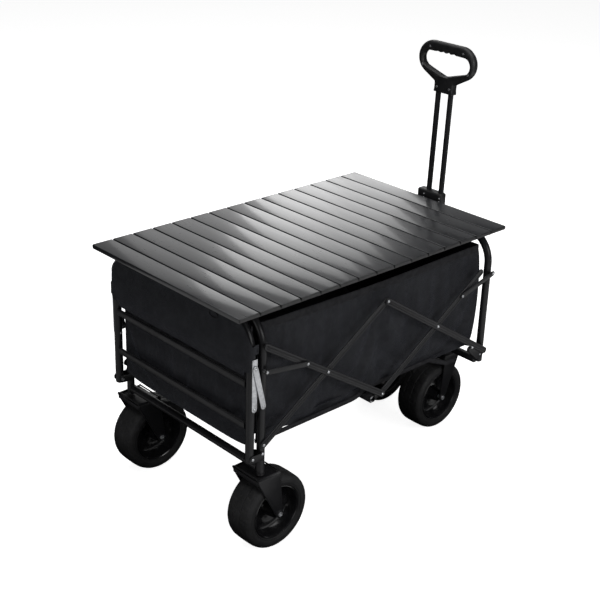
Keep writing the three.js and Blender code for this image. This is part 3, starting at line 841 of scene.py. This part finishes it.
def add_sleeve(looks):
    """Cloth sleeve over the drop-down hoop, folded round both posts, with its snap ring and tab."""
    post, out = GATE["x"], 12.6
    inner_y = POST_Y - out - 2
    turns = [math.radians(a) for a in range(0, 91, 15)]
    round_post = [(post - out * math.sin(a), POST_Y + out * math.cos(a)) for a in turns]
    wrap = [(post + out, POST_Y + out), (post + out / 2, POST_Y + out)] + round_post
    face = [(post - out, inner_y * k / 26) for k in range(26, -27, -1)]
    path = [(x, -y) for x, y in wrap] + [(x, -y) for x, y in face] + [(x, y) for x, y in wrap[::-1]]
    spans = [0.0]
    for a, b in zip(path, path[1:]):
        spans.append(spans[-1] + math.dist(a, b))
    top = 645.0

    def low(x, y):
        """Height of the sleeve's lower edge: high inside the posts, lowest across the face."""
        return 552.0 if x > post - 3 else 506.0 if abs(y) > inner_y else 488.0

    def lay(s, t):
        want = s * spans[-1]
        k = min(len(path) - 2, max(i for i, d in enumerate(spans) if d <= want))
        share = (want - spans[k]) / (spans[k + 1] - spans[k])
        x, y = (a + (b - a) * share for a, b in zip(path[k], path[k + 1]))
        foot = low(x, y)
        z = foot + (top - foot) * t
        tuck = 9.0 * max(0.0, min(1.0, (514 - z) / 24)) if abs(y) <= inner_y else 0.0
        flat = abs(y) <= POST_Y - HOOP_BEND and x <= post - out + 0.1
        lean = max(0.0, (z - 628) / 17) ** 2 * 9 if flat else 0.0
        ripple = 1.1 * noise.noise(Vector((y * 0.018, z * 0.02, 3.7))) * math.sin(math.pi * t)
        bend = HOOP_BEND + out
        shoulder = min(bend, max(0.0, abs(y) - (POST_Y - HOOP_BEND)))
        arch = bend - math.sqrt(max(0.0, bend ** 2 - shoulder ** 2))
        return x + tuck + lean + ripple * (x < post), y, z - arch * t ** 2

    sleeve, _, _ = cloth_grid("tailgate_sleeve", spans[-1], top - 488, lay, looks[:1], 7.0)
    thicken(sleeve, 1.2)
    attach(sleeve, "tailgate")
    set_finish(sleeve, "bag_fabric")
    ring = Piece("sleeve_ring", looks[1])
    centre, wire = Vector((post - out - 1.2, -143, 611)), 1.3
    rings = []
    for k in range(28):
        a = 2 * math.pi * k / 28
        spoke = Vector((0, 15 * math.cos(a), 8 * math.sin(a)))
        outward = spoke.normalized()
        rings.append([centre + spoke + outward * wire * math.cos(b) + Vector((wire * math.sin(b), 0, 0))
                      for b in (math.pi * j / 4 for j in range(8))])
    ring.loft(rings, wrapped=True, capped=False)
    ring = ring.build(60)
    tab = Piece("sleeve_tab", looks[1])
    tab.slab(rounded_box(-414, -398, 514, 550, 4), "xz", 271.5, 275.0, 1.0)
    tab = tab.build(60)
    for made in (ring, tab):
        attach(made, "tailgate")
        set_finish(made, "bag_fabric")
    return [sleeve, ring, tab]


def add_end_panel(name, x, way, body, looks):
    """End of the tub; way is the outward direction along X."""
    half, z0, z1 = BAG["y"] - 1, BAG["z0"] - (14 if way < 0 else 2), BAG["z1"] - 3

    def lay(s, t):
        y, z = -half + 2 * half * s, z0 + (z1 - z0) * t
        belly = 3.0 * math.sin(math.pi * s) * math.sin(math.pi * t) ** 0.7
        if way > 0:
            belly += front_bulge(z)
        round_off = 10.0 * (abs(2 * s - 1) ** 7) * (1 - t) ** 6
        droop = 6.0 * math.sin(math.pi * s) ** 2 * t ** 6
        return x + way * belly, y, z - droop + round_off

    cloth, columns, rows = cloth_grid(name + "_cloth", 2 * half, z1 - z0, lay, looks[:1])
    settle(cloth, edge_points(columns, rows), 0.012, 0.0, 0.008)
    wide = columns + 1
    points = [tuple(v.co) for v in cloth.data.vertices]
    thicken(cloth)
    hems = [
        tape(name + "_top_hem", in_raw(points[rows * wide:], -5), 22, 4.0, (0, 0, 1), looks[1], body),
        tape(name + "_foot_hem", in_raw(points[:wide], 4), 11, 4.5, (0, 0, 1), looks[1], body),
    ]
    if way < 0:
        hems += add_sleeve(looks)
    stands_for(cloth, name, "bag_fabric")


def add_floor_panel(looks):
    x0, x1, half, z = BAG["x0"] + 4, BAG["x1"] - 4, BAG["y"] - 4, BAG["z0"] + 8

    def lay(s, t):
        sag = 5.0 * math.sin(math.pi * s) * math.sin(math.pi * t)
        turned_up = 13.0 * abs(2 * t - 1) ** 14
        return x0 + (x1 - x0) * s, -half + 2 * half * t, z - sag + turned_up

    cloth, _, _ = cloth_grid("bag_floor_cloth", x1 - x0, 2 * half, lay, looks[:1], 14.0)
    thicken(cloth, 2.4)
    stands_for(cloth, "bag_floor", "bag_fabric")
    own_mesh(cloth)


# ---- wheels -------------------------------------------------------------------------------------
def tread_depth(angle, y):
    """How far the tread lies below its crown: two grooves round the tyre each side of its middle,
    and cross grooves staggered between them."""
    def groove(distance, half_width, depth):
        return depth * max(0.0, min(1.0, (half_width + 0.9 - abs(distance)) / 0.9))
    band = abs(y)
    deep = max(groove(band - 12.5, 0.9, 1.7), groove(band - 29.0, 0.7, 1.3))
    blocks = 20
    lean = 0.16 * (y / 40.0)
    phase = angle + lean + (math.pi / blocks if 12.5 < band < 29.0 else 0.0)
    across = (phase * blocks / (2 * math.pi)) % 1.0
    arc_gap = min(across, 1 - across) * 2 * math.pi * WHEEL_R / blocks
    if 1.5 < band < 38.0:
        deep = max(deep, groove(arc_gap, 0.8, 1.5))
    return deep


def tyre_mesh(look):
    """Wide pneumatic-style tyre with a rounded shoulder, shallow tread and a bead ring by the rim."""
    r, rim = WHEEL_R, RIM_R
    crown = [(r - 0.0011 * y * y, y) for y in (k * 1.5 for k in range(-18, 19))]
    shoulder = [(98.4, 30), (97.4, 33), (95.7, 35.8), (93.3, 38), (90.4, 39.5), (87.2, 40.4), (85.6, 40.7),
                (85.2, 40.2), (84.6, 40.2), (84.2, 40.8), (81, 41), (78, 40.6), (76.4, 39.6), (76, 38.4),
                (75, 38.2), (74.4, 38.8), (73.2, 38.8), (72.2, 37.6), (rim + 0.1, 36)]
    profile = [(rr, -y) for rr, y in shoulder[::-1]] + crown + shoulder
    profile += [(rim + 0.1, y) for y in (20, 0, -20)]
    piece = Piece("tyre", look)
    steps = 240
    rings = []
    for k in range(steps):
        a = 2 * math.pi * k / steps
        ring = []
        for rr, y in profile:
            low = tread_depth(a, y) if rr > 93 else 0.0
            ring.append(((rr - low) * math.cos(a), y, (rr - low) * math.sin(a)))
        rings.append(ring)
    piece.loft(rings, wrapped=True, capped=False)
    return piece


def hub_piece(look, steel):
    """Deep glossy dish each side of a web, round a boss that reaches to the fork."""
    h, r = HUB_W / 2, RIM_R - 0.2
    piece = Piece("hub", look, steel)
    side = [(r, 0), (r, h - 3), (r - 1, h - 0.5), (r - 2.5, h), (r - 4, h - 0.8), (r - 5, h - 4),
            (r - 6, h - 11), (r - 8, h - 20), (r - 13, h - 28), (r - 22, h - 32), (34, h - 32), (24, h - 29),
            (19, h - 22), (17, h - 6), (16, h - 3), (8, h - 2), (6, h - 3), (5.6, h - 5), (5.6, 0)]
    profile = side + [(rr, -y) for rr, y in side[-2:0:-1]]
    piece.turn(profile, (0, 0, 0), "y", 0, 96, wrapped=True)
    return piece


def copy_at(source, name, place):
    made = bpy.data.objects.new(name, source.data)
    made.location = place
    bpy.context.collection.objects.link(made)
    return made


def fork_piece(name, caster, looks):
    """Pressed fork: a crown with turned-down lips and two tapered cheeks, folded from one plate."""
    x, crown_top, start, end = caster["x"], caster["top"], caster["start"], caster["end"]
    piece = Piece(name, *looks)
    inside, plate = 44.0, 4.0
    outside = inside + plate
    fold = 6.0
    foot = arc(x, WHEEL_R, 11, 200, 350, 12)
    cheek = [(start, crown_top - fold), (start + 3, crown_top - 16)] + foot
    cheek += [(end, crown_top - 14), (end, crown_top - fold)]
    crown = []
    for k in range(7):
        a = k / 6 * math.pi / 2
        crown.append((outside - fold + fold * math.sin(a), crown_top - fold + fold * math.cos(a)))
    for _, side in sides():
        piece.slab(cheek, "xz", *sorted((side * inside, side * outside)), 1.0)
        piece.turn([(10.5, outside - 0.5), (10.5, outside + 0.7), (9.8, outside + 1.3), (7, outside + 1.3)],
                   (x, 0, WHEEL_R), "y", 0, 28, sign=side)
        piece.turn([(6.5, outside), (6.5, outside + 2.6), (5.8, outside + 3.4), (3.6, outside + 3.4),
                    (3.2, outside + 2.0), (0.3, outside + 2.0)], (x, 0, WHEEL_R), "y", 1, 28, sign=side)
    section = crown + [(-u, v) for u, v in crown[::-1]]
    section += [(-outside, crown_top - 8), (outside, crown_top - 8)]
    rings = []
    for depth, shrink in ((start, 1.2), (start + 0.6, 0.3), (start + 1.5, 0),
                          (end - 1.5, 0), (end - 0.6, 0.3), (end, 1.2)):
        rings.append([(depth, u, v) for u, v in inset(section, shrink)])
    piece.loft(rings)
    for edge, way in ((start, 1), (end, -1)):
        lip = sorted((edge, edge + way * 3.5))
        piece.slab(rounded_box(-inside - 1, inside + 1, crown_top - 17, crown_top - 6, 2), "yz", *lip, 0.8)
    piece.turn([(5.2, -inside), (5.2, inside)], (x, 0, WHEEL_R), "y", 1, 24)
    for edge, way in ((start, 1), (end, -1)):
        rail = sorted((edge + way * 0.5, edge + way * 3.5))
        outline = rounded_box(rail[0], rail[1], -inside + 4, inside - 4, 1.2)
        piece.slab(outline, "xy", crown_top - 2, crown_top + 1.2, 0.6)
    return piece


def add_wheels(rubber, gloss, paint, steel):
    tyre = tyre_mesh(rubber).build(28)
    hub = hub_piece(gloss, steel).build(32)
    for made in (tyre, hub):
        made.data.transform(Matrix.Translation((ORIGIN_X * MM, 0, 0)))
    casters = {
        "rear": dict(x=-326.0, top=222.0, start=-397.0, end=-327.0),
        "front": dict(x=423.0, top=236.0, start=419.0, end=481.0),
    }
    for tag, (x, y) in WHEELS.items():
        place = at(x, y, WHEEL_R)
        stands_for(copy_at(tyre, f"tyre_{tag}_fine", place), "tyre_" + tag, "tyre_rubber")
        stands_for(copy_at(hub, f"hub_{tag}_fine", place), "hub_" + tag, "wheel_hub")
        fork = fork_piece(f"fork_{tag}_fine", casters[tag.split("_")[0]], (paint, steel)).build()
        fork.location.y = y * MM
        stands_for(fork, "fork_" + tag, "frame_paint")
    for made in (tyre, hub):
        bpy.data.objects.remove(made)


# ---- pull handle --------------------------------------------------------------------------------
def add_sheath(looks):
    piece = Piece("handle_sheath_fine", *looks)
    x = HANDLE_X
    for _, side in sides():
        piece.turn([(10, 298), (10, 640)], (x, side * ROD_Y, 0), "z", 2, 28)
        for z in (648, 658):
            piece.rivet(side * (ROD_Y + 6), z, x - 13, -1, 2.0, 1, "x")
    piece.slab(rounded_box(x - 13, x + 13, -33, 54, 6), "xy", 628, 668.5, 2.2)
    piece.slab(rounded_box(x - 11, x + 11, -30, 51, 5), "xy", 667, 670, 1.0)
    piece.slab(rounded_box(x - 11, x + 11, 278, 305, 5), "xz", -ROD_Y - 14.4, ROD_Y + 14.4, 1.2)
    stands_for(piece.build(), "handle_sheath", "grip_plastic")


def add_rods(looks):
    for tag, side in sides():
        piece = Piece(f"handle_rod_{tag}_fine", *looks)
        heights = (612, 640, 800, 949.5)
        piece.sweep([(HANDLE_X + LEAN * (z - LEAN_FROM), side * ROD_Y, z) for z in heights], 7.5, chamfer=0.8)
        stands_for(piece.build(), "handle_rod_" + tag, "frame_paint")


def ray_to(outline, centre, angle):
    """Distance from the centre to a convex outline in one direction."""
    way = Vector((math.cos(angle), math.sin(angle)))
    best = 0.0
    for a, b in zip(outline, outline[1:] + outline[:1]):
        p, e = Vector(a) - Vector(centre), Vector(b) - Vector(a)
        cross = way.x * e.y - way.y * e.x
        if abs(cross) < 1e-9:
            continue
        t = (p.x * e.y - p.y * e.x) / cross
        s = (p.x * way.y - p.y * way.x) / cross
        if t > 0 and -1e-6 <= s <= 1 + 1e-6:
            best = max(best, t)
    return best


def add_grip(looks):
    """D-shaped grip: a rounded ring with finger waves under its top bar, on a short flared neck."""
    piece = Piece("handle_grip_fine", *looks)
    top, half_thick, foot = 1084.0, 11.0, 950.0
    rim = hull([(-51, top - 46, 46), (51, top - 46, 46), (0, foot + 44, 32)])
    hole = hull([(-60, 1034, 22), (60, 1034, 22), (0, 1017, 22)])
    centre = (0.0, 1030.0)
    rings = []
    for k in range(144):
        a = 2 * math.pi * k / 144
        far, near = ray_to(rim, centre, a), ray_to(hole, centre, a)
        if math.sin(a) > 0.3:
            y = near * math.cos(a)
            if abs(y - 5) < 40:
                wave = 1 + math.cos((y - 5) / 18 * 2 * math.pi + math.pi)
                near += 1.75 * wave * (1 - (abs(y - 5) / 40) ** 6)
        middle, half = (far + near) / 2, (far - near) / 2
        ring = []
        for s in range(24):
            turn = 2 * math.pi * s / 24
            u, v = math.cos(turn), math.sin(turn)
            blunt = 1.0 / (abs(u) ** 3.2 + abs(v) ** 3.2) ** (1 / 3.2)
            radius = middle + half * u * blunt
            ring.append((HANDLE_X + half_thick * v * blunt, centre[0] + radius * math.cos(a),
                         centre[1] + radius * math.sin(a)))
        rings.append(ring)
    piece.loft(rings, wrapped=True, capped=False)
    neck = [(-33, foot), (-31.5, foot + 14), (-32, foot + 26), (-38, foot + 44),
            (38, foot + 44), (32, foot + 26), (31.5, foot + 14), (33, foot)]
    piece.slab(neck, "yz", HANDLE_X - 11, HANDLE_X + 11, 3.5, steps=5)
    for face, way in ((HANDLE_X - half_thick, -1), (HANDLE_X + half_thick, 1)):
        for y, z in ((-58, 1068), (58, 1068), (-80, 1015), (80, 1015), (-21.5, 964.5), (21.5, 964.5)):
            piece.turn([(3.4, -1.5), (3.4, 0.1), (2.8, 0.5), (1.4, 0.5), (1.2, -0.3), (0.2, -0.3)],
                       (face, y, z), "x", 1, 16, sign=way)
    for vertex in piece.mesh.verts:
        vertex.co.x += LEAN * (vertex.co.z - LEAN_FROM)
    stands_for(piece.build(50), "handle_grip", "grip_plastic")


# ---- assembly -----------------------------------------------------------------------------------
make_camera()
make_studio()
slat_face, paint, steel = slat_look(), paint_look(), steel_look()
cloth, tape_cloth, rubber = cloth_look(), tape_look(), rubber_look()
gloss, nylon = gloss_look(), plastic_look()
metal = (paint, steel)

for number in range(TABLE["slats"]):
    add_slat(number, (slat_face, nylon))
add_rear_frame(metal)
add_tailgate(metal)
add_front_frame(metal)
add_front_cross_tube(metal)
add_linkage(metal)
add_floor_tube(metal)
add_stays(metal)
for tag, side in sides():
    add_side_panel(tag, side, (cloth, tape_cloth))
add_end_panel("bag_rear", BAG["x0"] + 1.5, -1, "tailgate", (cloth, tape_cloth))
add_end_panel("bag_front", BAG["x1"] - 5.5, 1, "front", (cloth, tape_cloth))
add_floor_panel((cloth,))
add_wheels(rubber, gloss, paint, steel)
add_sheath((nylon, steel, paint))
add_rods(metal)
add_grip((nylon, steel))
